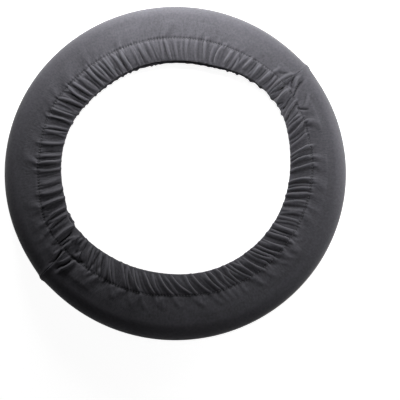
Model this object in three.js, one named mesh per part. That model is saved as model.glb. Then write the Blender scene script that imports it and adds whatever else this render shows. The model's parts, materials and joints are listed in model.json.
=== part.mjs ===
// Elastic cover for a steering wheel, in the shape that it has when it is stretched over the rim.
// Two lengths of thin fabric are sewn end to end into a ring. Each long edge is folded under
// round a flat elastic and stitched down, and the elastic pulls that hem into gathers.
// Millimetres. The wheel's axis is +Z, towards the driver, and the origin is the ring's middle.
import * as THREE from "three";

// The fabric and the wheel rim that it goes round.
const FABRIC = 1.0; // thickness of the fabric
const RIM_PATH_RADIUS = 171; // from the wheel's axis to the middle of the rim's section
const RIM_HALF_WIDTH = 18; // half of the rim's section, along the radius
const RIM_HALF_DEPTH = 17.5; // half of the rim's section, along the axis
const REST_FLAT = 6; // width of the flat band on the front and the back of the ring
const ARC_STEPS = 6; // facets from the front flat round the outside to the back flat

// The two hems, measured in the plane of the wheel.
const STITCH_INSET = 22; // from the rim's middle in to the stitch line
const STITCH_DROP = 2; // how far the stitch line lies behind the front flat
const HEM_WIDTH = 25.5; // from the stitch line in to the hem's folded edge
const MOUTH_HALF_GAP = 10.5; // from the mid plane to either hem's edge
const BACK_SETBACK = 5; // the back hem's opening is wider than the front's by this
const STITCH_ALLOWANCE = 3; // how far the turned-under fabric goes on past the stitch line
const SEWN_GAP = 0.3; // between the two layers where they are stitched together

// The elastics inside the hems.
const ELASTIC_THICKNESS = 1.0;
const ELASTIC_CLEARANCE = 0.5; // between the elastic and the fabric on either face
const ELASTIC_MARGIN = 2.5; // from the elastic's edges to the hem's fold and its stitch line
const ELASTIC_FACETS = 52; // round each elastic

// The gathers and the two cross seams.
const GATHERS_PER_LENGTH = 39;
const GATHER_HEIGHT = 3.8; // of a full gather's crest over the elastic
const FRONT_VALLEY = [0.3, 0.72]; // a front gather's flat valley, as shares of the way between crests
const BACK_VALLEY = [0.5]; // a back gather has a plain valley
const SEAM_ANGLE = 39.5; // clock angle of the first cross seam, anticlockwise from +X, in degrees
const SEAM_GAP = 0.4; // between the two lengths at a cross seam

const TURN = 2 * Math.PI;
const DEGREE = Math.PI / 180;
const STITCH_RADIUS = RIM_PATH_RADIUS - STITCH_INSET;
const CHANNEL = ELASTIC_THICKNESS + 2 * ELASTIC_CLEARANCE;
const TURN_RADIUS = (CHANNEL + FABRIC) / 2; // of the hem's fold, at the middle of the fabric

// A smooth swelling of height 1 round one clock angle.
function swelling(angle, centreDegrees, widthDegrees) {
  const away = Math.atan2(
    Math.sin(angle - centreDegrees * DEGREE),
    Math.cos(angle - centreDegrees * DEGREE),
  );
  return Math.exp(-((away / (widthDegrees * DEGREE)) ** 2));
}

// The stitch line bows outwards at each cross seam, where the fabric is bulky, and inwards at
// the bottom.
function stitchRadius(angle) {
  const bow = 4 * swelling(angle, SEAM_ANGLE, 18) + 6 * swelling(angle, SEAM_ANGLE + 168, 16);
  const wander = 2 * swelling(angle, 156, 14) - 3 * swelling(angle, 271, 14);
  return STITCH_RADIUS + 1.2 * Math.cos(2 * angle) - Math.abs(Math.sin(angle)) + bow + wander;
}

// The hem's opening is drawn out at the side spokes and at the cross seams, and is a little
// smaller at the upper left and the bottom.
function hemRadius(angle, side) {
  const drawn = 9 * swelling(angle, SEAM_ANGLE, 22) + 3 * swelling(angle, SEAM_ANGLE + 178, 18);
  const wander = 2.6 * swelling(angle, 137, 22) + 1.6 * swelling(angle, 271, 18);
  const oval = 2.2 * Math.cos(2 * angle) + 0.8 * Math.sin(angle);
  const setback = side > 0 ? 0 : BACK_SETBACK;
  return STITCH_RADIUS - HEM_WIDTH + oval + drawn - wander + setback;
}

// How far a gather leans round the ring between the hem's edge and the stitch line: most at the
// bottom, where the cover was pulled round by hand, and backwards over the top right.
function lean(angle) {
  const pulled = 6.5 * swelling(angle, 268, 40) + 3 * swelling(angle, 18, 26) - 3.5 * swelling(angle, 55, 14);
  return (1.5 + pulled) * DEGREE;
}

// The gathers are deep at the bottom and the left, and shallow at the top.
function gatherStrength(angle) {
  return 0.78 - 0.3 * swelling(angle, 85, 30) + 0.22 * swelling(angle, 270, 60);
}

// A place on the fabric's middle surface: a point and the way out of it, as (radius, height).
function place(radius, height, outRadius, outHeight) {
  return {
    at: new THREE.Vector2(radius, height),
    out: new THREE.Vector2(outRadius, outHeight).normalize(),
  };
}

// The hem at one clock angle: the line from its edge out to the stitch line, and its normal.
// side is 1 for the front hem and -1 for the back one.
function hemLine(angle, side) {
  const edge = new THREE.Vector2(hemRadius(angle, side) + TURN_RADIUS + FABRIC / 2, side * MOUTH_HALF_GAP);
  const stitchHeight = RIM_HALF_DEPTH + FABRIC / 2 - STITCH_DROP;
  const stitch = new THREE.Vector2(stitchRadius(angle), side * stitchHeight);
  const along = stitch.clone().sub(edge).normalize();
  const out = new THREE.Vector2(-along.y * side, along.x * side);
  return { edge, stitch, along, out };
}

// The rows of one hem, from the turned-under end round the hem's edge to the stitch line.
// across is 0 at the stitch line and 1 at the hem's edge. lifts gives the share of a gather's
// height in each gathered row, and valley is the gather's own section.
function hemRows(side, lifts, valley) {
  const under = (from, inwards, depth) => (angle) => {
    const hem = hemLine(angle, side);
    const at = hem[from].clone().addScaledVector(hem.along, inwards).addScaledVector(hem.out, -depth);
    return place(at.x, at.y, -hem.out.x, -hem.out.y);
  };
  const end = (angle) => {
    const sewn = under("stitch", 0, FABRIC + SEWN_GAP)(angle);
    return { at: sewn.at.setX(sewn.at.x + STITCH_ALLOWANCE), out: sewn.out };
  };
  const fold = (angle) => {
    const hem = hemLine(angle, side);
    const at = hem.edge.clone().addScaledVector(hem.along, -TURN_RADIUS).addScaledVector(hem.out, -TURN_RADIUS);
    return place(at.x, at.y, -hem.along.x, -hem.along.y);
  };
  const upper = (across) => (angle) => {
    const hem = hemLine(angle, side);
    const at = hem.stitch.clone().lerp(hem.edge, across);
    return place(at.x, at.y, hem.out.x, hem.out.y);
  };
  const last = lifts.length - 1;
  return [
    { valley: [], across: 0, lift: 0, at: end },
    { valley: [], across: 0, lift: 0, at: under("stitch", ELASTIC_CLEARANCE - ELASTIC_MARGIN, 2 * TURN_RADIUS) },
    { valley: [], across: 1, lift: 0, at: under("edge", 0, 2 * TURN_RADIUS) },
    { valley: [], across: 1, lift: 0, at: fold },
    ...lifts.map((lift, i) => ({ valley, across: 1 - i / last, lift, at: upper(1 - i / last) })),
  ];
}

// The rows of the smooth band, over the front of the rim, round its outside and over its back.
function bandRows() {
  const halfDepth = RIM_HALF_DEPTH + FABRIC / 2;
  const arcMiddle = RIM_PATH_RADIUS + REST_FLAT / 2;
  const arc = new THREE.EllipseCurve(
    arcMiddle, 0, RIM_HALF_WIDTH + FABRIC / 2 - REST_FLAT / 2, halfDepth, Math.PI / 2, -Math.PI / 2, true,
  );
  const flatRow = (side) => () => place(RIM_PATH_RADIUS - REST_FLAT / 2, side * halfDepth, 0, side);
  const arcRows = arc.getPoints(ARC_STEPS).map((point, i) => {
    const normal = new THREE.Vector2(1, 0).rotateAround(new THREE.Vector2(), Math.PI / 2 - (i * Math.PI) / ARC_STEPS);
    return () => place(point.x, point.y, normal.x, normal.y);
  });
  return [flatRow(1), ...arcRows, flatRow(-1)].map((at) => ({ valley: [], across: 0, lift: 0, at }));
}

// One length's gathers: the clock angle of each crest, with an uneven pitch, and its height.
function crests(startDegrees) {
  const span = TURN / 2 - SEAM_GAP / RIM_PATH_RADIUS;
  const start = startDegrees * DEGREE + SEAM_GAP / RIM_PATH_RADIUS / 2;
  return Array.from({ length: GATHERS_PER_LENGTH + 1 }, (_, k) => {
    const inside = k > 0 && k < GATHERS_PER_LENGTH;
    const wander = inside ? 0.2 * Math.sin(2.4 * k + startDegrees) + 0.12 * Math.sin(5.1 * k) : 0;
    const angle = start + ((k + wander) / GATHERS_PER_LENGTH) * span;
    const height = GATHER_HEIGHT * gatherStrength(angle) * (0.8 + 0.2 * Math.sin(3.7 * k + 1));
    return { angle, height };
  });
}

// The columns of a row: each crest, and the corners of the valley that follows it.
function columnsOf(row, crestList) {
  const gathers = crestList.slice(0, -1).flatMap((crest, k) => {
    const pitch = crestList[k + 1].angle - crest.angle;
    return [crest, ...row.valley.map((share) => ({ angle: crest.angle + share * pitch, height: 0 }))];
  });
  return [...gathers, crestList.at(-1)];
}

// The two faces of the fabric along one row, as points in space.
function rowPoints(row, crestList) {
  return columnsOf(row, crestList).map(({ angle, height }) => {
    const { at, out } = row.at(angle);
    const turned = angle - lean(angle) * row.across;
    const point = (offset) => {
      const radius = at.x + out.x * offset;
      return new THREE.Vector3(radius * Math.cos(turned), radius * Math.sin(turned), at.y + out.y * offset);
    };
    const lifted = height * row.lift;
    return { outer: point(lifted + FABRIC / 2), inner: point(lifted - FABRIC / 2) };
  });
}

// Triangles between a run of points and the run beside it, which has as many points or only two.
function fan(long, short, add) {
  const middle = Math.floor(long.length / 2);
  for (let i = 0; i + 1 < long.length; i += 1) add(long[i + 1], long[i], i < middle ? short[0] : short[1]);
  add(short[0], short[1], long[middle]);
}

// Triangles between two neighbouring rows, cell by cell. One row may have three points to a cell.
function bridge(rowA, rowB, add) {
  const cells = Math.min(rowA.length, rowB.length) - 1;
  const part = (row, cell) => {
    const step = (row.length - 1) / cells;
    return row.slice(cell * step, (cell + 1) * step + 1);
  };
  for (let cell = 0; cell < cells; cell += 1) {
    const a = part(rowA, cell);
    const b = part(rowB, cell);
    if (a.length >= b.length) fan(a, b, add);
    else fan(b, a, (p, q, r) => add(q, p, r));
  }
}

// A closed solid from rows of points on its two faces.
function fabricGeometry(rows) {
  const positions = [];
  const add = (a, b, c) => positions.push(...a.toArray(), ...b.toArray(), ...c.toArray());
  const face = (name) => rows.map((row) => row.map((pair) => pair[name]));
  const outer = face("outer");
  const inner = face("inner");
  for (let i = 0; i + 1 < rows.length; i += 1) {
    bridge(outer[i], outer[i + 1], add);
    bridge(inner[i], inner[i + 1], (a, b, c) => add(a, c, b));
  }
  bridge(inner[0], outer[0], add);
  bridge(outer.at(-1), inner.at(-1), add);
  const end = (name, index) => face(name).map((row) => row.at(index));
  bridge(end("outer", 0), end("inner", 0), add);
  bridge(end("inner", -1), end("outer", -1), add);
  const geometry = new THREE.BufferGeometry();
  geometry.setAttribute("position", new THREE.Float32BufferAttribute(positions, 3));
  geometry.computeVertexNormals();
  return geometry;
}

// One length of fabric, from one cross seam half way round to the other.
function fabricLength(startDegrees) {
  const crestList = crests(startDegrees);
  const frontHem = hemRows(1, [0.45, 1, 0.9, 0.2], FRONT_VALLEY);
  const backHem = hemRows(-1, [0.45, 0.95, 0.2], BACK_VALLEY).reverse();
  const rows = [...frontHem, ...bandRows(), ...backHem];
  return fabricGeometry(rows.map((row) => rowPoints(row, crestList)));
}

// One flat elastic: a closed band that lies in its hem, clear of the fabric on both faces.
function elasticGeometry(side) {
  const corner = (angle, from, inwards, depth) => {
    const hem = hemLine(angle, side);
    const at = hem[from].clone().addScaledVector(hem.along, inwards).addScaledVector(hem.out, -depth);
    const turned = angle - lean(angle) * (from === "edge" ? 1 : 0);
    return new THREE.Vector3(at.x * Math.cos(turned), at.x * Math.sin(turned), at.y);
  };
  const top = FABRIC / 2 + ELASTIC_CLEARANCE;
  const sections = Array.from({ length: ELASTIC_FACETS }, (_, k) => {
    const angle = (k / ELASTIC_FACETS) * TURN;
    return [
      corner(angle, "edge", ELASTIC_MARGIN, top),
      corner(angle, "stitch", -ELASTIC_MARGIN, top),
      corner(angle, "stitch", -ELASTIC_MARGIN, top + ELASTIC_THICKNESS),
      corner(angle, "edge", ELASTIC_MARGIN, top + ELASTIC_THICKNESS),
    ];
  });
  const positions = [];
  sections.forEach((section, k) => {
    const next = sections[(k + 1) % ELASTIC_FACETS];
    section.forEach((point, i) => {
      const j = (i + 1) % section.length;
      const quad = [point, section[j], next[j], point, next[j], next[i]];
      const ordered = side > 0 ? quad : quad.reverse();
      ordered.forEach((vertex) => positions.push(...vertex.toArray()));
    });
  });
  const geometry = new THREE.BufferGeometry();
  geometry.setAttribute("position", new THREE.Float32BufferAttribute(positions, 3));
  geometry.computeVertexNormals();
  return geometry;
}

const fabricFinish = { color: 0x3a3a3e, roughness: 0.72, metalness: 0 };
const elasticFinish = { color: 0x26262a, roughness: 0.9, metalness: 0 };

function named(name, geometry, finish) {
  const mesh = new THREE.Mesh(geometry, new THREE.MeshStandardMaterial(finish));
  mesh.name = name;
  return mesh;
}

const cover = new THREE.Group();
cover.name = "steering_wheel_cover";
cover.add(
  named("upper_fabric_length", fabricLength(SEAM_ANGLE), fabricFinish),
  named("lower_fabric_length", fabricLength(SEAM_ANGLE + 180), fabricFinish),
  named("front_elastic", elasticGeometry(1), elasticFinish),
  named("back_elastic", elasticGeometry(-1), elasticFinish),
);

export default cover;
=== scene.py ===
"""The look of an elastic steering wheel cover, pulled over its ring: thin stretch fabric whose two
hems are gathered by elastics, with a row of stitches along each hem and two cross seams."""

import json
import math

import bpy
import numpy as np
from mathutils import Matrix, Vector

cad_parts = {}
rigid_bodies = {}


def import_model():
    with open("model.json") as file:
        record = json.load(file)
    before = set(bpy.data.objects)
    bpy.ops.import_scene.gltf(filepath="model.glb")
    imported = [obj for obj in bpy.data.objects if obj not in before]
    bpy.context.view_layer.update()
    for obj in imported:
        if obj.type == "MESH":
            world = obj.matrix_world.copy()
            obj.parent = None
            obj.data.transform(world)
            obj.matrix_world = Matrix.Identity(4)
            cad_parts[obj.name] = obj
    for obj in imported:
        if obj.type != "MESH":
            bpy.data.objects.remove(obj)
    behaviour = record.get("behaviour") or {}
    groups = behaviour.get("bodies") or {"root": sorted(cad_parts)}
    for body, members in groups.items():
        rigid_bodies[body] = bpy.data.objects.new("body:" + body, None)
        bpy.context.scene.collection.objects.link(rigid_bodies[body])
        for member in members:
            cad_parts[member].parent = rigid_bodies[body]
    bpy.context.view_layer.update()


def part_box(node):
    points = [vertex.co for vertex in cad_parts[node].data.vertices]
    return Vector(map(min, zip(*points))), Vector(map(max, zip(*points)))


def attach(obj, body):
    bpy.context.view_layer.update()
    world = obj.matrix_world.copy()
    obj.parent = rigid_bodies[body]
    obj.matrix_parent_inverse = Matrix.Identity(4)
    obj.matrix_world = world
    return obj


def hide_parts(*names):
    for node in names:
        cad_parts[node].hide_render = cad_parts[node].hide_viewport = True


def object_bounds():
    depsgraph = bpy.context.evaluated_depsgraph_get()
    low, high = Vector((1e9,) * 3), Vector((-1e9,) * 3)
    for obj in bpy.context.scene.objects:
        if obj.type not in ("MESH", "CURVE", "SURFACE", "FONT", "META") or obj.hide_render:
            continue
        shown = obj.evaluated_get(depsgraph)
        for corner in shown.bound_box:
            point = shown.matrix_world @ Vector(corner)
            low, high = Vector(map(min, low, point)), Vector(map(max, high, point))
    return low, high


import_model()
random = np.random.default_rng(7)

# Lengths are in millimetres up to the making of a mesh, and angles are clock angles in degrees,
# anticlockwise from +X. The sizes are those of the solids, except that the fabric and the gap at
# a cross seam are thinner here.
MM = 0.001
SOLID_FABRIC = 1.0
CAD_HIGH = np.array(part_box("upper_fabric_length")[1]) / MM
OUTER_RADIUS = float(CAD_HIGH[1]) - SOLID_FABRIC / 2  # middle of the fabric, at the outermost
CROWN_HEIGHT = float(CAD_HIGH[2]) - SOLID_FABRIC / 2  # middle of the fabric, at the front
RIM_PATH_RADIUS = 171.0
CROWN_FLAT = 6.0
STITCH_RADIUS = 149.0
STITCH_DROP = 2.0
HEM_WIDTH = 25.5
MOUTH_HALF_GAP = 10.5
BACK_SETBACK = 5.0
TURN_RADIUS = 1.5
STITCH_ALLOWANCE = 3.0
SEAMS = (39.5, 219.5)
SEAM_GAP = 0.3
BARED_AT = 209.5  # where the back hem shows past the front one
FABRIC = 0.7
FREE_DIP = 0.55  # the cloth's inner face only sinks for dips deeper than this
UNDER_CLEARANCE = 0.15  # between the two layers at the stitches
UNDER_RISE = 0.2  # the turned-under layer rises to the stitches over this share of its width
SEAM_RIDGE, SEAM_RIDGE_WIDTH = 1.1, 3.0
SEAM_CREASE, SEAM_CREASE_WIDTH = 0.45, 0.6
SEAM_CORNER, SEAM_CORNER_REACH = 1.3, 14.0

# The grid on which the fabric is worked out: columns round the ring, rows across it.
HALF_COLUMNS = 680
HEM_ROWS = 20
CROWN_ROWS = 13
ARC_ROWS = 18
ROLL_ROWS = 7
UNDER_ROWS = 5
FRONT_STITCH_ROW = UNDER_ROWS + 1 + ROLL_ROWS + HEM_ROWS
STITCH_ROWS = {"front": FRONT_STITCH_ROW, "back": -1 - FRONT_STITCH_ROW}

# The relaxation: how strongly each step holds the fabric's lengths and its bends, round the ring
# and across the hem, and how strongly its edge and its stitches hold it.
RELAX_STEPS = 50
HOLD_ROUND = 0.6
HOLD_ACROSS = 0.35
HOLD_SLANT = 0.06
BEND_SPAN = 3
BEND_ROUND = 0.12
BEND_ACROSS = 0.15
BEND_REST = 0.94  # of the full length of a bend's span round the ring
SINK = 0.006
EDGE_HOLD = 0.12
EDGE_LIFT = 0.55  # of a gather's height that its end at the folded edge keeps
EDGE_DRAW = 0.16  # of a gather's height that draws the edge inwards
STITCH_HOLD = 0.5
STITCH_LIFT = 0.4  # of a gather's height that is left at a stitch
BETWEEN_STITCHES = 0.6  # of the stitches' depth that is left half way between two

# The gathers.
GATHER_HEIGHT = 7.4
PUFF_HEIGHT = 3.9
BAND_FOLDS = 0.45
STITCH_DEPTH = 1.1
GATHER_RADIUS = 137.0
FINE_PITCH = 9.0
DEEP_PITCH = 11.0
STITCH_PITCH = 3.4
STITCH_LENGTH = 2.3
THREAD_RADIUS = 0.4
THREAD_TAPER = 0.45  # of its thickness that a stitch loses at its ends
THREAD_SINK = 0.2
THREAD_ARCH = 0.4
THREAD_LOOK_AHEAD = 0.4
THREAD_SIDES = 6
THREAD_STEPS = 4
CLOTH_RADIUS = 160.0  # at which the cloth's way round is measured

# The looks.
FABRIC_COLOUR = (0.044, 0.0431, 0.0493, 1)
# The fabric's pale end: random flecks and blotches, and the painted highlight on its folds.
FABRIC_PALE_TONE_AND_HIGHLIGHT = (0.098, 0.0961, 0.1098, 1)
THREAD_COLOUR = (0.13, 0.13, 0.14, 1)
ELASTIC_COLOUR = (0.02, 0.02, 0.022, 1)
SHEEN_ROUGHNESS = 0.45
SPECULAR = 0.1
FLECK_SHARE = 0.8
BLOTCH_SHARE = 0.4
PAINTED_FOLD_LIGHT_GAIN = 10.0  # how strongly painted light on the folds and painted shade in the creases follow pointiness
PAINTED_FOLD_LIGHT_LEVEL = -5.0
# The span of the colour ramp, driven by random tone and by painted light and shade on the folds.
PAINTED_LIGHT_AND_TONE_FROM, PAINTED_LIGHT_AND_TONE_TO = 0.2, 1.0
FLOOR_GREY = 0.5
FLOOR_GLOW = 0.93
FLOOR_HALF = 4.0


def swelling(angle, centre, width):
    """A smooth bump of height 1 at the clock angle centre. All three are in degrees."""
    away = (np.asarray(angle) - centre + 180.0) % 360.0 - 180.0
    return np.exp(-((away / width) ** 2))


def stitch_radius(angle):
    """Radius of the stitch line, which bows outwards at the two cross seams."""
    bow = 4 * swelling(angle, SEAMS[0], 18) + 6 * swelling(angle, SEAMS[0] + 168, 16)
    wander = 2 * swelling(angle, 156, 14) - 3 * swelling(angle, 271, 14)
    around = np.radians(angle)
    return STITCH_RADIUS + 1.2 * np.cos(2 * around) - np.abs(np.sin(around)) + bow + wander


def hem_radius(angle, side):
    """Radius of the hem's edge, on the front with side 1 and on the back with side -1. At one place
    the front edge is drawn outwards, so that the back one shows."""
    drawn = 9 * swelling(angle, SEAMS[0], 22) + 3 * swelling(angle, SEAMS[0] + 178, 18)
    wander = 2.6 * swelling(angle, 137, 22) + 1.6 * swelling(angle, 271, 18)
    around = np.radians(angle)
    oval = 2.2 * np.cos(2 * around) + 0.8 * np.sin(around)
    setback = BACK_SETBACK - 1.7 * swelling(angle, 100, 60) - 4.6 * swelling(angle, BARED_AT, 9)
    bared = 3.2 * swelling(angle, BARED_AT, 5.5)
    return STITCH_RADIUS - HEM_WIDTH + oval + drawn - wander + (bared if side > 0 else setback)


def seam_slant(angle, way_out):
    """How far a cross seam runs off its clock angle, in degrees. The way out is 0 at the hem's
    edge, 1 at the stitch line, 2 on the crown and 3 at the outermost."""
    first = np.interp(way_out, [0, 1, 2, 3], [-0.3, -1.6, -2.3, -1.8])
    second = np.interp(way_out, [0, 1, 2, 3], [0.0, 0.3, 0.6, 0.9])
    return first * swelling(angle, SEAMS[0], 12) + second * swelling(angle, SEAMS[1], 12)


def lean(angle):
    """How far the hem's edge is turned back from the stitch line, in degrees."""
    pulled = 6.5 * swelling(angle, 268, 40) + 3 * swelling(angle, 18, 26) - 3.5 * swelling(angle, 55, 14)
    return 1.5 + pulled


def gather_strength(angle):
    """The gathers are deep at the left and the bottom, and soft at the top."""
    return (
        0.8
        - 0.42 * swelling(angle, 85, 26)
        - 0.22 * swelling(angle, 338, 32)
        + 0.2 * swelling(angle, 262, 45)
        + 0.2 * swelling(angle, 160, 24)
        + 0.1 * swelling(angle, 40, 14)
    )


def column_angles():
    """Clock angles of the columns, closer together at the two cross seams."""
    fine = np.linspace(0.0, 180.0, 7201)
    from_seam = np.minimum(fine, 180.0 - fine)
    filled = np.cumsum(1 + 2.4 * np.exp(-((from_seam / 1.5) ** 2)))
    filled = (filled - filled[0]) / (filled[-1] - filled[0])
    half = np.interp(np.arange(HALF_COLUMNS) / HALF_COLUMNS, filled, fine)
    return np.concatenate([SEAMS[0] + half, SEAMS[1] + half])


ANGLES = column_angles()
COLUMNS = len(ANGLES)


def in_space(radius, height, angle):
    """Points from radii and heights at clock angles, as an array that ends in x, y, z."""
    around = np.radians(angle)
    radius, height, around = np.broadcast_arrays(radius, height, around)
    return np.stack([radius * np.cos(around), radius * np.sin(around), height], axis=-1)


def unit(vectors):
    return vectors / np.maximum(np.linalg.norm(vectors, axis=-1, keepdims=True), 1e-9)


def normals_of(grid):
    """Outward normals of a grid of rows and closed columns."""
    along = np.roll(grid, -1, axis=1) - np.roll(grid, 1, axis=1)
    across = np.gradient(grid, axis=0)
    return unit(np.cross(across, along))


def smooth_rows(side):
    """The ungathered surface, from the hem's edge over the stitch line to the crown: the points,
    and each row's place as 1 at the hem's edge, 0 at the stitch line and -1 at the crown."""
    place = np.concatenate([np.linspace(1, 0, HEM_ROWS + 1), np.linspace(0, -1, CROWN_ROWS + 1)[1:]])
    place = place[:, None]
    angle = ANGLES[None, :]
    stitch = stitch_radius(angle)
    edge = hem_radius(angle, side) + TURN_RADIUS + FABRIC / 2
    crown = RIM_PATH_RADIUS - CROWN_FLAT / 2
    hem = np.clip(place, 0, 1)
    rise = np.clip(-place, 0, 1)
    radius = stitch + (edge - stitch) * hem + (crown - stitch) * rise
    stitch_height = CROWN_HEIGHT - STITCH_DROP
    camber = 0.6 * np.sin(math.pi * hem)
    height = stitch_height + (MOUTH_HALF_GAP - stitch_height) * hem + camber
    height = height + STITCH_DROP * (1 - (1 - rise) ** 2)
    turned = angle - lean(angle) * hem + seam_slant(angle, 1 + rise - hem)
    return in_space(radius, height, turned), place[:, 0]


def row_distance(base):
    """Distance of each row from the stitch line, in millimetres, positive on the hem."""
    steps = np.linalg.norm(np.diff(base, axis=0), axis=2)
    walked = np.concatenate([np.zeros((1, COLUMNS)), np.cumsum(steps, axis=0)])
    return walked[HEM_ROWS] - walked


# Single folds and creases on the front: the clock angle and radius where each starts and ends, its
# height, below 0 for a crease, and its width.
FOLDS = [
    ((65.2, 131), (64.1, 145), 2.6, 1.6),
    ((59.6, 129), (60.0, 143), 2.6, 1.6),
    ((55.6, 136), (54.6, 151), 3.0, 1.8),
    ((52.6, 133), (52.0, 149), -1.6, 1.2),
    ((50.3, 133), (50.1, 150), 3.0, 1.8),
    ((47.6, 134), (47.0, 150), -1.8, 1.2),
    ((45.5, 134), (44.8, 152), 3.2, 1.8),
    ((43.2, 135), (42.8, 152), -1.8, 1.0),
    ((41.2, 135), (41.8, 152), 2.6, 1.4),
    ((37.2, 137), (36.7, 162), -3.4, 1.5),
    ((32.8, 135), (34.8, 154), 3.4, 3.0),
    ((33.6, 139), (35.4, 152), 0.9, 0.8),
    ((28.8, 134), (31.8, 156), 2.4, 1.4),
    ((34.4, 173), (30.8, 153), -4.0, 1.5),
    ((31.0, 155), (27.8, 136), -3.6, 1.4),
    ((36.3, 173), (33.9, 159), 3.0, 1.5),
    ((37.1, 167), (33.8, 156), -3.4, 1.3),
    ((36.2, 129), (34.4, 141), -2.4, 1.0),
    ((33.2, 127), (30.8, 140), -2.6, 1.0),
    ((29.6, 128), (28.6, 139), -2.2, 0.9),
    ((28.8, 154), (23.5, 134), 3.8, 1.6),
    ((27.3, 151), (22.2, 134), -2.6, 1.1),
    ((25.4, 150), (22.8, 160), -2.2, 1.3),
    ((21.9, 151), (19.6, 133), 2.6, 1.6),
    ((17.5, 149), (18.4, 156), -2.2, 1.1),
    ((42.2, 157), (39.4, 164), -1.3, 1.5),
    ((44.0, 150), (43.4, 162), 1.5, 1.7),
    ((220.8, 180), (217.3, 161), 3.0, 1.4),
    ((217.4, 164), (216.4, 136), 2.8, 1.5),
    ((221.7, 179), (224.9, 151), 3.4, 1.5),
    ((219.9, 168), (218.8, 153), 1.6, 0.9),
    ((221.0, 166), (221.9, 153), 1.4, 0.9),
    ((219.5, 172), (217.7, 155), -5.0, 1.6),
    ((221.7, 171), (223.3, 152), -5.0, 1.6),
    ((222.1, 151), (228.0, 146), -3.2, 1.8),
    ((214.7, 153), (213.6, 136), -3.6, 1.5),
    ((222.6, 146), (221.6, 132), -3.4, 1.8),
    ((231.5, 146), (229.0, 130), -3.0, 1.6),
    ((234.6, 146), (232.4, 128), -2.6, 1.6),
    ((155.2, 152), (153.6, 127), 3.8, 1.8),
    ((157.4, 156), (156.4, 138), -2.2, 1.8),
]

# Crests along the bottom of the front hem and at the seams, written like the folds, but without a
# width: each rises slowly on one side and drops steeply on the other.
CRESTS = [
    ((37.9, 168), (38.9, 135), 4.6),
    ((33.8, 156), (32.4, 136), 2.6),
    ((24.0, 156), (28.6, 168), 1.6),
    ((196.9, 127), (199.0, 150), 3.4),
    ((201.6, 127), (204.8, 155), 3.8),
    ((204.9, 128), (209.2, 160), 4.2),
    ((211.5, 129), (213.6, 158), 4.0),
    ((216.4, 136), (216.0, 151), 2.6),
    ((217.6, 131), (217.9, 141), 2.4),
    ((219.2, 130), (219.5, 139), 2.4),
    ((225.0, 127), (228.6, 144), 3.2),
    ((236.1, 126), (242.5, 147), 3.8),
    ((245.4, 123), (250.6, 147), 4.2),
    ((248.7, 124), (255.6, 147), 4.4),
    ((254.6, 124), (261.3, 144), 3.6),
    ((258.5, 124), (263.4, 143), 3.4),
    ((261.8, 123), (269.0, 143), 4.6),
    ((268.1, 123), (276.8, 143), 4.2),
    ((274.9, 123), (279.3, 144), 4.2),
    ((278.2, 122), (285.2, 146), 4.4),
    ((284.6, 124), (288.8, 145), 4.6),
    ((287.2, 124), (291.6, 147), 4.4),
    ((291.0, 124), (294.0, 146), 3.8),
    ((295.1, 124), (297.8, 147), 4.4),
    ((297.4, 124), (303.4, 150), 4.2),
    ((302.1, 125), (304.7, 148), 3.2),
    ((305.5, 127), (309.3, 150), 4.4),
    ((310.0, 125), (315.5, 150), 4.6),
    ((314.8, 126), (319.0, 151), 4.2),
    ((319.0, 127), (322.3, 150), 3.8),
    ((325.6, 127), (326.9, 145), 3.8),
]
CREST_RISE = 2.6  # width of a crest's slow side
CREST_DROP = 1.0  # and of its steep side
HAZE_HEIGHT = 0.8  # of the low fold that a crest goes on as, past the stitch line
HAZE_WIDTH = 2.3
HAZE_REACH = 14.0
FOLD_BOW = 0.06  # of a fold's length
FOLD_TAPER = 0.06

# Where placed folds stand in for most of the random ridges on the front: clock angle and width.
PLACED_STRETCHES = [(31, 11), (54, 12), (211, 15), (155, 4), (278, 38)]
PLACED_SHARE = 0.65


def gather_centres():
    """Places of the gathers round the ring, in millimetres: wider apart where they are deep."""
    turn = 2 * math.pi * GATHER_RADIUS
    centres = []
    reached = 0.0
    while reached < turn - FINE_PITCH / 2:
        centres.append(reached)
        depth = gather_strength(math.degrees(reached / GATHER_RADIUS))
        pitch = FINE_PITCH + (DEEP_PITCH - FINE_PITCH) * min(max(depth - 0.5, 0) / 0.5, 1)
        reached += pitch * random.uniform(0.65, 1.35)
    return centres


def distance_off(line):
    """Distance of each column, round the ring, off a line that runs across the hem."""
    turn = 2 * math.pi * GATHER_RADIUS
    around = np.radians(ANGLES)[None, :] * GATHER_RADIUS
    return (around - line + turn / 2) % turn - turn / 2


def add_ridges(height, sway, centres, hem, past, tall_range, width_range):
    """Raises a pinched ridge at each place. Its line drifts and bends on the way across the hem,
    it leans over to one side, and it dies out a short or a long way past the stitch line."""
    for centre in centres:
        tall = random.uniform(*tall_range)
        width = random.uniform(*width_range)
        drift = random.uniform(-3.0, 3.0)
        bend = random.uniform(-1.5, 1.5)
        flow = random.uniform(0.1, 0.5)
        reach = random.choice([1.5, 5.0, 12.0], p=[0.35, 0.35, 0.3])
        reach *= 1 + 0.8 * swelling(math.degrees(centre / GATHER_RADIUS), 275, 32)
        tilt = random.uniform(-0.15, 0.5)
        at_edge, at_stitch = random.uniform(0.45, 1.0), random.uniform(0.4, 0.95)
        line = centre + drift * (hem - 0.5) + bend * np.sin(math.pi * hem) - flow * past
        away = distance_off(line)
        ends = at_stitch + (at_edge - at_stitch) * hem
        body = ends + (1 - ends) * np.sin(math.pi * hem) ** 0.8
        spread = width * (1 + past / 7)
        raised = tall * body * np.exp(-past / reach) * np.exp(-((away / spread) ** 2))
        height += raised
        sway += tilt * raised


def creased_share(angle):
    """Where the fabric lies in broad puffs with narrow creases between, and not in thin ridges."""
    return np.minimum(0.9 * swelling(angle, 122, 24) + 0.5 * swelling(angle, 180, 18), 1)


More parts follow.
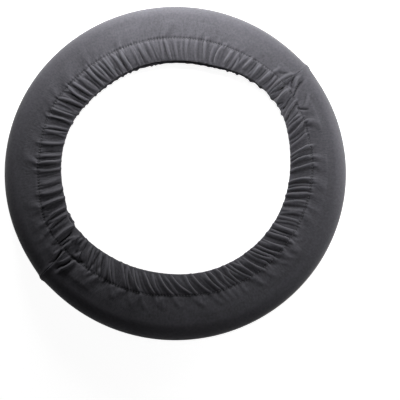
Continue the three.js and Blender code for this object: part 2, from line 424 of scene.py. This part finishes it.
def add_creases(height, centres, hem, past):
    """Puffs the hem up, and draws a narrow crease into it at each place, sharp on one side."""
    share = creased_share(ANGLES)[None, :]
    puffed = np.sin(math.pi * np.clip(0.12 + 0.7 * hem, 0, 1)) * np.exp(-past / 2.0)
    height += PUFF_HEIGHT * share * puffed
    for centre in centres:
        deep = random.uniform(0.55, 1.0)
        drift = random.uniform(-3.0, 3.0)
        bend = random.uniform(-1.5, 1.5)
        narrow = random.uniform(0.7, 1.1)
        short = random.uniform(0.0, 0.5)
        line = centre + drift * (hem - 0.5) + bend * np.sin(math.pi * hem)
        away = distance_off(line)
        width = np.where(away > 0, narrow, 3.2 * narrow)
        along = np.clip((hem - short) / 0.3 + 0.5, 0.15, 1)
        height -= PUFF_HEIGHT * share * puffed * deep * along * np.exp(-((away / width) ** 2))


def bowed_line(angle, radius, start, end):
    """For a fold's slightly bowed line, each point's distance off it, and a taper towards its
    two ends."""
    round_way = np.radians((angle - start[0] + 180) % 360 - 180) * STITCH_RADIUS
    run = math.radians(end[0] - start[0]) * STITCH_RADIUS
    rise = end[1] - start[1]
    length = math.hypot(run, rise)
    share = (round_way * run + (radius - start[1]) * rise) / length**2
    off = (round_way * rise - (radius - start[1]) * run) / length
    off = off + FOLD_BOW * length * np.sin(math.pi * np.clip(share, 0, 1))
    inset = FOLD_TAPER + (1 - 2 * FOLD_TAPER) * share
    return off, np.sin(math.pi * np.clip(inset, 0, 1)) ** 0.7


def folded(base):
    """Height of the single folds, creases and crests at each point. A crest that is written from
    the hem's edge outwards goes on past the stitch line as a low, broad fold."""
    angle = np.degrees(np.arctan2(base[..., 1], base[..., 0]))
    radius = np.linalg.norm(base[..., :2], axis=2)
    height = np.zeros(radius.shape)
    for start, end, tall, width in FOLDS:
        off, taper = bowed_line(angle, radius, start, end)
        height += tall * taper * np.exp(-((off / width) ** 2))
    for start, end, tall in CRESTS:
        off, taper = bowed_line(angle, radius, start, end)
        width = np.where(off > 0, CREST_DROP, CREST_RISE)
        height += tall * taper * np.exp(-((off / width) ** 2))
        if end[1] < start[1]:
            continue
        faded = (end[0] + 0.5 * (end[0] - start[0]), end[1] + HAZE_REACH)
        off, taper = bowed_line(angle, radius, end, faded)
        height += HAZE_HEIGHT * taper * np.exp(-((off / HAZE_WIDTH) ** 2))
    return height


def seeded_gathers(base, place, side):
    """The gathers before the fabric is relaxed, as a height and a shift to one side: deep pinched
    ridges with low ripples between them."""
    hem = np.clip(place, 0, 1)[:, None]
    past = np.maximum(-row_distance(base), 0)
    height = random.normal(0, 0.02, base.shape[:2])
    sway = np.zeros_like(height)
    for tall_range, width_range in (((0.5, 1.1), (1.6, 2.6)), ((0.1, 0.65), (1.2, 2.2))):
        add_ridges(height, sway, gather_centres(), hem, past, tall_range, width_range)
    strength = gather_strength(ANGLES)[None, :] * (1 if side > 0 else 0.85)
    strength = strength * (1 - 0.5 * creased_share(ANGLES)[None, :])
    if side > 0:
        for middle, width in PLACED_STRETCHES:
            strength = strength * (1 - PLACED_SHARE * swelling(ANGLES, middle, width)[None, :])
    calm = 0.75 * swelling(ANGLES, 268, 38)[None, :] * np.clip((hem - 0.72) / 0.2, 0, 1)
    strength = strength * (1 - calm)
    height *= GATHER_HEIGHT * strength
    sway *= GATHER_HEIGHT * strength
    add_creases(height, gather_centres(), hem, past)
    return height, sway


def pull(points, rows, columns, rest, stiffness):
    """Moves each pair of points, rows and columns apart on the grid, towards its rest distance."""
    height = points.shape[0]
    first = points[: height - rows]
    second = np.roll(points[rows:], -columns, axis=1)
    gap = second - first
    length = np.sqrt(np.einsum("ijk,ijk->ij", gap, gap)) + 1e-9
    move = gap * (stiffness * 0.5 * (length - rest) / length)[..., None]
    points[: height - rows] += move
    points[rows:] -= np.roll(move, columns, axis=1)


def spacing(grid, rows, columns):
    height = grid.shape[0]
    gap = np.roll(grid[rows:], -columns, axis=1) - grid[: height - rows]
    return np.linalg.norm(gap, axis=2)


def smoothed_down(values, reach):
    """Each row's values, averaged with those of the rows near it."""
    total = np.zeros_like(values)
    count = len(values)
    for step in range(-reach, reach + 1):
        total += values[np.clip(np.arange(count) + step, 0, count - 1)]
    return total / (2 * reach + 1)


def relax(base, seed, sway):
    """Lets the seeded gathers settle. The fabric keeps its width and length, resists bending, stays
    on or above the ungathered surface, except at the stitches, and is held there and at the crown.
    The folds that are placed later aren't held by any of this."""
    normal = normals_of(base)
    along = unit(np.roll(base, -1, axis=1) - np.roll(base, 1, axis=1))
    points = base + normal * seed[..., None] + along * sway[..., None]
    wide = smoothed_down(spacing(points, 0, 1), 2)
    deep = spacing(base, 1, 0)
    slant = {step: 0.5 * (spacing(base, 1, step) + spacing(points, 1, step)) for step in (1, -1)}
    row_bend = spacing(base, BEND_SPAN, 0)
    wide_bend = sum(np.roll(wide, -k, axis=1) for k in range(BEND_SPAN)) * BEND_REST
    springs = [
        (0, 1, wide, HOLD_ROUND),
        (1, 0, deep, HOLD_ACROSS),
        (1, 1, slant[1], HOLD_SLANT),
        (1, -1, slant[-1], HOLD_SLANT),
        (0, BEND_SPAN, wide_bend, BEND_ROUND),
        (BEND_SPAN, 0, row_bend, BEND_ACROSS),
    ]
    stitch_phase = np.radians(ANGLES) * STITCH_RADIUS / STITCH_PITCH * 2 * math.pi
    near_stitch = (0.5 + 0.5 * np.cos(stitch_phase)) ** 2
    pinned = STITCH_HOLD * near_stitch
    stitched_height = STITCH_LIFT * seed[HEM_ROWS] - STITCH_DEPTH
    inward = unit(base[0] - base[1])
    lifted = normal[0] * (EDGE_LIFT * seed[0])[:, None]
    edge = base[0] + lifted + inward * (EDGE_DRAW * seed[0])[:, None]
    floor = np.zeros(base.shape[:2])
    floor[HEM_ROWS] = -STITCH_DEPTH * (BETWEEN_STITCHES + (1 - BETWEEN_STITCHES) * near_stitch)
    stitched = base[HEM_ROWS] + normal[HEM_ROWS] * stitched_height[:, None]
    for _ in range(RELAX_STEPS):
        for rows, columns, rest, stiffness in springs:
            pull(points, rows, columns, rest, stiffness)
        lift = np.einsum("ijk,ijk->ij", points - base, normal)
        down = np.where(lift < floor, floor - lift, -SINK * lift)
        points += normal * down[..., None]
        points[0] += EDGE_HOLD * (edge - points[0])
        points[HEM_ROWS] += pinned[:, None] * (stitched - points[HEM_ROWS])
        points[-1] = base[-1]
    return points, normal


def seam_profile(distance):
    """Height of the fabric beside a cross seam: a low ridge over the turned-in edges, with the
    seam itself as a fine crease along it."""
    away = np.abs(distance)
    ridge = SEAM_RIDGE * np.exp(-((away / SEAM_RIDGE_WIDTH) ** 2))
    return ridge - SEAM_CREASE * np.exp(-((away / SEAM_CREASE_WIDTH) ** 2))


def seam_distance(angle, radius):
    """Distance round the ring to the nearest cross seam, in millimetres."""
    away = [(angle - seam + 180.0) % 360.0 - 180.0 for seam in SEAMS]
    nearest = np.where(np.abs(away[0]) < np.abs(away[1]), away[0], away[1])
    return np.radians(nearest) * radius


def arc_rows():
    """The band from the front crown round the outside to the back one."""
    turned = np.linspace(90.0, -90.0, ARC_ROWS + 1)[:, None]
    middle = RIM_PATH_RADIUS + CROWN_FLAT / 2
    radius = middle + (OUTER_RADIUS - middle) * np.cos(np.radians(turned))
    height = CROWN_HEIGHT * np.sin(np.radians(turned))
    from_seam = np.abs(seam_distance(ANGLES, OUTER_RADIUS))[None, :]
    corner = SEAM_CORNER * np.exp(-from_seam / SEAM_CORNER_REACH)
    radius = radius + corner * np.cos(np.radians(turned))
    slanted = ANGLES[None, :] + seam_slant(ANGLES[None, :], 2 + np.cos(np.radians(turned)))
    return in_space(radius, height, slanted)


def roll_rows(base, normal, edge):
    """The hem's folded edge, from the top layer round to the one turned under it."""
    along = unit(base[1] - base[0])
    centre = base[0] - normal[0] * TURN_RADIUS
    lifted = edge - base[0]
    rows = []
    for k in range(1, ROLL_ROWS + 1):
        turned = math.pi * k / ROLL_ROWS
        share = (1 + math.cos(turned)) / 2
        spot = centre + TURN_RADIUS * (math.cos(turned) * normal[0] - math.sin(turned) * along)
        rows.append(spot + lifted * share)
    return rows


def under_rows(base, normal):
    """The turned-under layer, from the hem's edge to just past the stitch line."""
    rows = []
    stitched = FABRIC + STITCH_DEPTH + UNDER_CLEARANCE
    for k in range(1, UNDER_ROWS + 1):
        row = round(k * HEM_ROWS / UNDER_ROWS)
        near = np.clip((k / UNDER_ROWS - (1 - UNDER_RISE)) / UNDER_RISE, 0, 1)
        depth = 2 * TURN_RADIUS + (stitched - 2 * TURN_RADIUS) * near
        rows.append(base[row] - normal[row] * depth)
    past = unit(base[HEM_ROWS + 3] - base[HEM_ROWS]) * STITCH_ALLOWANCE
    rows.append(base[HEM_ROWS] + past - normal[HEM_ROWS] * stitched)
    return rows


def fabric_side(side):
    """One side of the cover as rows of points, from the turned-under end to the crown."""
    base, place = smooth_rows(side)
    seed, sway = seeded_gathers(base, place, side)
    points, normal = relax(base, seed, sway)
    radius = np.linalg.norm(base[..., :2], axis=2)
    distance = seam_distance(ANGLES[None, :], radius)
    past = np.maximum(-row_distance(base), 0)
    lift = seam_profile(distance) + BAND_FOLDS * seed * past / (past + 2)
    if side > 0:
        lift = lift + folded(base)
    points = points + normal * lift[..., None]
    hidden = under_rows(base, normal)[::-1] + roll_rows(base, normal, points[0])[::-1]
    rows = np.concatenate([np.array(hidden), points])
    return rows if side > 0 else rows * [1, 1, -1]


def cover_rows():
    """The whole cover's rows, from the front hem's turned-under end to the back one's."""
    front = fabric_side(1)
    back = fabric_side(-1)
    arc = arc_rows()
    radius = np.linalg.norm(arc[..., :2], axis=2)
    lift = seam_profile(seam_distance(ANGLES[None, :], radius))
    arc = arc + normals_of(arc) * lift[..., None]
    return np.concatenate([front, arc, back[::-1]])


def strip(upper, lower, flip):
    """Triangles between two lists of vertex numbers, the second as long as the first or half."""
    faces = []
    if len(lower) == len(upper):
        for k in range(len(upper) - 1):
            faces.append((upper[k], upper[k + 1], lower[k + 1], lower[k]))
    else:
        for k in range(len(lower) - 1):
            faces.append((upper[2 * k], upper[2 * k + 1], lower[k]))
            faces.append((upper[2 * k + 1], lower[k + 1], lower[k]))
            faces.append((upper[2 * k + 1], upper[2 * k + 2], lower[k + 1]))
    return [face[::-1] for face in faces] if flip else faces


def sheet_mesh(name, rows, normal, flat):
    """A closed thin sheet: a fine outer face, and an inner face with every second row and column.
    The inner face sinks where a row that it leaves out, such as the stitches', dips between two."""
    row_count, column_count = rows.shape[:2]
    outer = rows + normal * (FABRIC / 2)
    straight = (rows[:-2:2] + rows[2::2]) / 2
    dip = np.einsum("ijk,ijk->ij", straight - rows[1::2], normal[1::2])
    dip = np.pad(np.maximum(dip - FREE_DIP, 0), ((1, 1), (0, 0)))
    sunk = np.maximum(dip[:-1], dip[1:])[..., None]
    inner = (rows[::2] - normal[::2] * (FABRIC / 2 + sunk))[:, ::2]
    outer_ids = np.arange(row_count * column_count).reshape(row_count, column_count)
    inner_ids = outer_ids.size + np.arange(inner.shape[0] * inner.shape[1]).reshape(inner.shape[:2])
    faces = []
    for k in range(row_count - 1):
        faces += strip(outer_ids[k], outer_ids[k + 1], True)
    for k in range(inner.shape[0] - 1):
        faces += strip(inner_ids[k], inner_ids[k + 1], False)
    faces += strip(outer_ids[0], inner_ids[0], False)
    faces += strip(outer_ids[-1], inner_ids[-1], True)
    faces += strip(outer_ids[:, 0], inner_ids[:, 0], True)
    faces += strip(outer_ids[:, -1], inner_ids[:, -1], False)
    mesh = bpy.data.meshes.new(name)
    points = np.concatenate([outer.reshape(-1, 3), inner.reshape(-1, 3)]) * MM
    mesh.from_pydata(points.tolist(), [], [tuple(int(v) for v in face) for face in faces])
    cloth = np.concatenate([flat.reshape(-1, 2), flat[::2, ::2].reshape(-1, 2)]) * MM
    layer = mesh.uv_layers.new(name="cloth")
    corner = np.zeros(len(mesh.loops), dtype=np.int32)
    mesh.loops.foreach_get("vertex_index", corner)
    layer.data.foreach_set("uv", cloth[corner].ravel())
    mesh.polygons.foreach_set("use_smooth", [True] * len(mesh.polygons))
    mesh.validate()
    piece = bpy.data.objects.new(name, mesh)
    bpy.context.collection.objects.link(piece)
    return piece


def stitch_mesh(name, line, normal):
    """A row of stitches along a hem: each is a short rounded bar of thread, whose two ends sink
    into the fabric."""
    walked = np.concatenate([[0], np.cumsum(np.linalg.norm(np.diff(line, axis=0), axis=1))])
    count = int(walked[-1] // STITCH_PITCH)
    pitch = walked[-1] / count
    corners = np.radians(np.arange(THREAD_SIDES) * 360.0 / THREAD_SIDES)
    points, faces = [], []
    for k in range(count):
        first = len(points)
        for step in range(THREAD_STEPS + 1):
            share = step / THREAD_STEPS
            walk = (k + 0.5) * pitch + (share - 0.5) * STITCH_LENGTH
            spot = np.array([np.interp(walk, walked, line[:, axis]) for axis in range(3)])
            out = unit(np.array([np.interp(walk, walked, normal[:, axis]) for axis in range(3)]))
            next_walk = walk + THREAD_LOOK_AHEAD
            ahead = np.array([np.interp(next_walk, walked, line[:, axis]) for axis in range(3)])
            across = unit(np.cross(out, ahead - spot))
            arch = math.sin(math.pi * share)
            thick = THREAD_RADIUS * (1 - THREAD_TAPER + THREAD_TAPER * arch)
            centre = spot + out * (FABRIC / 2 - THREAD_SINK + THREAD_ARCH * arch)
            for corner in corners:
                points.append(centre + thick * (math.cos(corner) * across + math.sin(corner) * out))
        for step in range(THREAD_STEPS):
            for side in range(THREAD_SIDES):
                a = first + step * THREAD_SIDES + side
                b = first + step * THREAD_SIDES + (side + 1) % THREAD_SIDES
                faces.append((a, b, b + THREAD_SIDES, a + THREAD_SIDES))
        last = first + THREAD_STEPS * THREAD_SIDES
        faces.append(tuple(first + side for side in reversed(range(THREAD_SIDES))))
        faces.append(tuple(last + side for side in range(THREAD_SIDES)))
    mesh = bpy.data.meshes.new(name)
    mesh.from_pydata((np.array(points) * MM).tolist(), [], faces)
    mesh.polygons.foreach_set("use_smooth", [True] * len(mesh.polygons))
    piece = bpy.data.objects.new(name, mesh)
    bpy.context.collection.objects.link(piece)
    return piece


def cloth_places(rows):
    """Each point's place on the cloth: the way round and the way across, in millimetres."""
    steps = np.linalg.norm(np.diff(rows, axis=0), axis=2).mean(axis=1)
    across = np.concatenate([[0], np.cumsum(steps)])
    around = np.radians(ANGLES) * CLOTH_RADIUS
    return np.stack(np.broadcast_arrays(around[None, :], across[:, None]), axis=-1)


def half_of(array, half):
    """One length's columns, with the column of the next seam added."""
    start = half * HALF_COLUMNS
    columns = np.arange(start, start + HALF_COLUMNS + 1) % COLUMNS
    return array[:, columns]


def part_at_seams(rows):
    """Draws each end of a length back from its cross seam, to leave a narrow gap."""
    rows = rows.copy()
    for end, beside in ((0, 1), (-1, -2)):
        rows[:, end] += unit(rows[:, beside] - rows[:, end]) * (SEAM_GAP / 2)
    return rows


def node_material(name, rough, sheen, build):
    material = bpy.data.materials.new(name)
    material.use_nodes = True
    nodes, links = material.node_tree.nodes, material.node_tree.links
    shader = nodes["Principled BSDF"]
    shader.inputs["Roughness"].default_value = rough
    shader.inputs["Sheen Weight"].default_value = sheen
    shader.inputs["Sheen Roughness"].default_value = SHEEN_ROUGHNESS
    shader.inputs["Specular IOR Level"].default_value = SPECULAR
    build(nodes, links, shader)
    return material


def add(nodes, kind, **values):
    node = nodes.new(kind)
    for key, value in values.items():
        if key in node.inputs:
            node.inputs[key].default_value = value
        else:
            setattr(node, key, value)
    return node


def fabric_nodes(nodes, links, shader):
    """A fine stretch knit: close ribs and courses, flecked, with faint blotches, and with painted light
    on its folds and painted shade in its creases, after the surface's pointiness."""
    place = add(nodes, "ShaderNodeTexCoord")
    cloth = add(nodes, "ShaderNodeUVMap", uv_map="cloth")
    blotch = add(nodes, "ShaderNodeTexNoise", Scale=18.0, Detail=4.0)
    fleck = add(nodes, "ShaderNodeTexNoise", Scale=420.0, Detail=2.0)
    mottle = add(nodes, "ShaderNodeMath", operation="MULTIPLY_ADD")
    mottle.inputs[1].default_value = FLECK_SHARE
    faint = add(nodes, "ShaderNodeMath", operation="MULTIPLY")
    faint.inputs[1].default_value = BLOTCH_SHARE
    links.new(place.outputs["Object"], blotch.inputs["Vector"])
    links.new(place.outputs["Object"], fleck.inputs["Vector"])
    links.new(fleck.outputs["Fac"], mottle.inputs[0])
    links.new(blotch.outputs["Fac"], faint.inputs[0])
    links.new(faint.outputs["Value"], mottle.inputs[2])
    shape = add(nodes, "ShaderNodeNewGeometry")
    # Painted light and shade: paler on convex folds and darker in concave creases, from Pointiness.
    painted_fold_light = add(nodes, "ShaderNodeMath", operation="MULTIPLY_ADD")
    painted_fold_light.inputs[1].default_value = PAINTED_FOLD_LIGHT_GAIN
    painted_fold_light.inputs[2].default_value = PAINTED_FOLD_LIGHT_LEVEL
    links.new(shape.outputs["Pointiness"], painted_fold_light.inputs[0])
    shade = add(nodes, "ShaderNodeMath", operation="ADD")
    links.new(mottle.outputs["Value"], shade.inputs[0])
    links.new(painted_fold_light.outputs["Value"], shade.inputs[1])
    # The ramp runs from the fabric's colour to its pale end, by random tone and by painted light and
    # shade.
    colour = add(nodes, "ShaderNodeValToRGB")
    colour.color_ramp.elements[0].position = PAINTED_LIGHT_AND_TONE_FROM
    colour.color_ramp.elements[0].color = FABRIC_COLOUR
    colour.color_ramp.elements[1].position = PAINTED_LIGHT_AND_TONE_TO
    colour.color_ramp.elements[1].color = FABRIC_PALE_TONE_AND_HIGHLIGHT
    links.new(shade.outputs["Value"], colour.inputs["Fac"])
    links.new(colour.outputs["Color"], shader.inputs["Base Color"])
    ribs = add(nodes, "ShaderNodeTexWave", Scale=250.0, Distortion=0.6, bands_direction="X")
    courses = add(nodes, "ShaderNodeTexWave", Scale=330.0, Distortion=0.6, bands_direction="Y")
    grain = add(nodes, "ShaderNodeTexNoise", Scale=900.0, Detail=2.0)
    links.new(cloth.outputs["UV"], ribs.inputs["Vector"])
    links.new(cloth.outputs["UV"], courses.inputs["Vector"])
    links.new(place.outputs["Object"], grain.inputs["Vector"])
    knit = add(nodes, "ShaderNodeMath", operation="MULTIPLY")
    links.new(ribs.outputs["Fac"], knit.inputs[0])
    links.new(courses.outputs["Fac"], knit.inputs[1])
    total = add(nodes, "ShaderNodeMath", operation="ADD")
    links.new(knit.outputs["Value"], total.inputs[0])
    links.new(grain.outputs["Fac"], total.inputs[1])
    bump = add(nodes, "ShaderNodeBump", Strength=0.25, Distance=0.0002)
    links.new(total.outputs["Value"], bump.inputs["Height"])
    links.new(bump.outputs["Normal"], shader.inputs["Normal"])


def thread_nodes(nodes, links, shader):
    """Twisted sewing thread."""
    place = add(nodes, "ShaderNodeTexCoord")
    twist = add(nodes, "ShaderNodeTexWave", Scale=900.0, Distortion=2.0, bands_direction="DIAGONAL")
    links.new(place.outputs["Object"], twist.inputs["Vector"])
    bump = add(nodes, "ShaderNodeBump", Strength=0.5, Distance=0.0001)
    links.new(twist.outputs["Fac"], bump.inputs["Height"])
    links.new(bump.outputs["Normal"], shader.inputs["Normal"])
    shader.inputs["Base Color"].default_value = THREAD_COLOUR


def elastic_nodes(nodes, links, shader):
    """Woven elastic: close ribs along the band."""
    place = add(nodes, "ShaderNodeTexCoord")
    ribs = add(nodes, "ShaderNodeTexWave", Scale=300.0, wave_type="RINGS", rings_direction="Z")
    links.new(place.outputs["Object"], ribs.inputs["Vector"])
    bump = add(nodes, "ShaderNodeBump", Strength=0.6, Distance=0.0003)
    links.new(ribs.outputs["Fac"], bump.inputs["Height"])
    links.new(bump.outputs["Normal"], shader.inputs["Normal"])
    shader.inputs["Base Color"].default_value = ELASTIC_COLOUR


fabric = node_material("cover_fabric", 0.7, 0.25, fabric_nodes)
thread = node_material("sewing_thread", 0.5, 0.1, thread_nodes)
woven_elastic = node_material("woven_elastic", 0.85, 0.0, elastic_nodes)


def place_camera():
    """The photograph looks down on the ring, 13 degrees off its axis. These are its pixels."""
    image_width = 400
    pixels_to_a_metre = 897.5
    distance = 1.1
    ring_middle = (175.3, 167.6)
    elevation = math.radians(77)
    data = bpy.data.cameras.new("camera")
    data.sensor_width = 36
    data.lens = data.sensor_width * pixels_to_a_metre * distance / image_width
    data.shift_x = (image_width / 2 - ring_middle[0]) / image_width
    data.shift_y = (ring_middle[1] - image_width / 2) / image_width
    camera = bpy.data.objects.new("camera", data)
    camera.location = (0, -distance * math.cos(elevation), distance * math.sin(elevation))
    camera.rotation_euler = (math.pi / 2 - elevation, 0, 0)
    bpy.context.collection.objects.link(camera)
    bpy.context.scene.camera = camera


def add_lamp(name, place, aim, size, power, spread=180.0):
    data = bpy.data.lights.new(name, "AREA")
    data.shape = "SQUARE"
    data.size = size
    data.energy = power
    data.spread = math.radians(spread)
    lamp = bpy.data.objects.new(name, data)
    lamp.location = place
    toward = np.array(aim, dtype=float) - np.array(place, dtype=float)
    lamp.rotation_euler = (
        math.atan2(math.hypot(toward[0], toward[1]), -toward[2]),
        0,
        math.atan2(toward[0], -toward[1]) + math.pi,
    )
    bpy.context.collection.objects.link(lamp)


def pale_ground(level):
    """A pale floor: to the camera, and in reflections, it also glows, so that it looks white."""
    mesh = bpy.data.meshes.new("floor")
    signs = ((-1, -1), (1, -1), (1, 1), (-1, 1))
    corners = [(x * FLOOR_HALF, y * FLOOR_HALF, level) for x, y in signs]
    mesh.from_pydata(corners, [], [(0, 1, 2, 3)])
    floor = bpy.data.objects.new("floor", mesh)
    bpy.context.collection.objects.link(floor)
    material = bpy.data.materials.new("floor_paint")
    material.use_nodes = True
    nodes, links = material.node_tree.nodes, material.node_tree.links
    shader = nodes["Principled BSDF"]
    shader.inputs["Base Color"].default_value = (FLOOR_GREY, FLOOR_GREY, FLOOR_GREY, 1)
    shader.inputs["Roughness"].default_value = 0.9
    path = add(nodes, "ShaderNodeLightPath")
    seen = add(nodes, "ShaderNodeMath", operation="MAXIMUM")
    links.new(path.outputs["Is Camera Ray"], seen.inputs[0])
    mirrored = add(nodes, "ShaderNodeMath", operation="MAXIMUM")
    links.new(path.outputs["Is Glossy Ray"], mirrored.inputs[0])
    links.new(path.outputs["Is Transmission Ray"], mirrored.inputs[1])
    links.new(mirrored.outputs["Value"], seen.inputs[1])
    strength = add(nodes, "ShaderNodeMath", operation="MULTIPLY")
    strength.inputs[1].default_value = FLOOR_GLOW
    links.new(seen.outputs["Value"], strength.inputs[0])
    shader.inputs["Emission Color"].default_value = (1, 1, 1, 1)
    links.new(strength.outputs["Value"], shader.inputs["Emission Strength"])
    mesh.materials.append(material)


def light_room():
    """Low lamps on the far side of the ring, with a weak softbox over it: they rake the gathers,
    and the near side stays in shade."""
    world = bpy.data.worlds.new("world")
    bpy.context.scene.world = world
    world.use_nodes = True
    world.node_tree.nodes["Background"].inputs["Color"].default_value = (1, 1, 1, 1)
    world.node_tree.nodes["Background"].inputs["Strength"].default_value = 0.0
    bpy.context.scene.view_settings.view_transform = "Standard"
    middle = (0, 0, 0)
    add_lamp("top_edge", (0, 0.33, 0.1), (0, 0.1, 0), size=0.15, power=0.7)
    add_lamp("right_edge", (0.36, 0.1, 0.07), (0.15, 0.03, 0), size=0.2, power=0.85)
    add_lamp("left_edge", (-0.5, 0.16, 0.12), middle, size=0.15, power=0.16)
    add_lamp("key", (-0.2, 0.42, 0.2), middle, size=0.15, power=1.2)
    add_lamp("softbox", (0.05, 0.25, 0.5), (0.05, 0.25, 0), size=0.3, power=0.72, spread=60)
    add_lamp("near_softbox", (0.14, -0.12, 0.5), (0.13, -0.12, 0), size=0.2, power=0.03, spread=35)
    add_lamp("fill", (0, -0.5, 0.35), middle, size=0.3, power=0.2)


place_camera()
light_room()

rows = cover_rows()
surface_normals = normals_of(rows)
places = cloth_places(rows)
for half, node in enumerate(("upper_fabric_length", "lower_fabric_length")):
    piece = sheet_mesh(
        node.replace("_length", ""),
        part_at_seams(half_of(rows, half)),
        half_of(surface_normals, half),
        half_of(places, half),
    )
    piece.data.materials.append(fabric)
    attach(piece, "root")
    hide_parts(node)
    for side, row in STITCH_ROWS.items():
        line = half_of(rows, half)[row]
        normal = half_of(surface_normals, half)[row]
        stitches = stitch_mesh(f"{piece.name}_{side}_stitches", line, normal)
        stitches.data.materials.append(thread)
        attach(stitches, "root")

for node in ("front_elastic", "back_elastic"):
    band = bpy.data.objects[node]
    band.data.materials.clear()
    band.data.materials.append(woven_elastic)

visual_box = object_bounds()
pale_ground(visual_box[0][2])
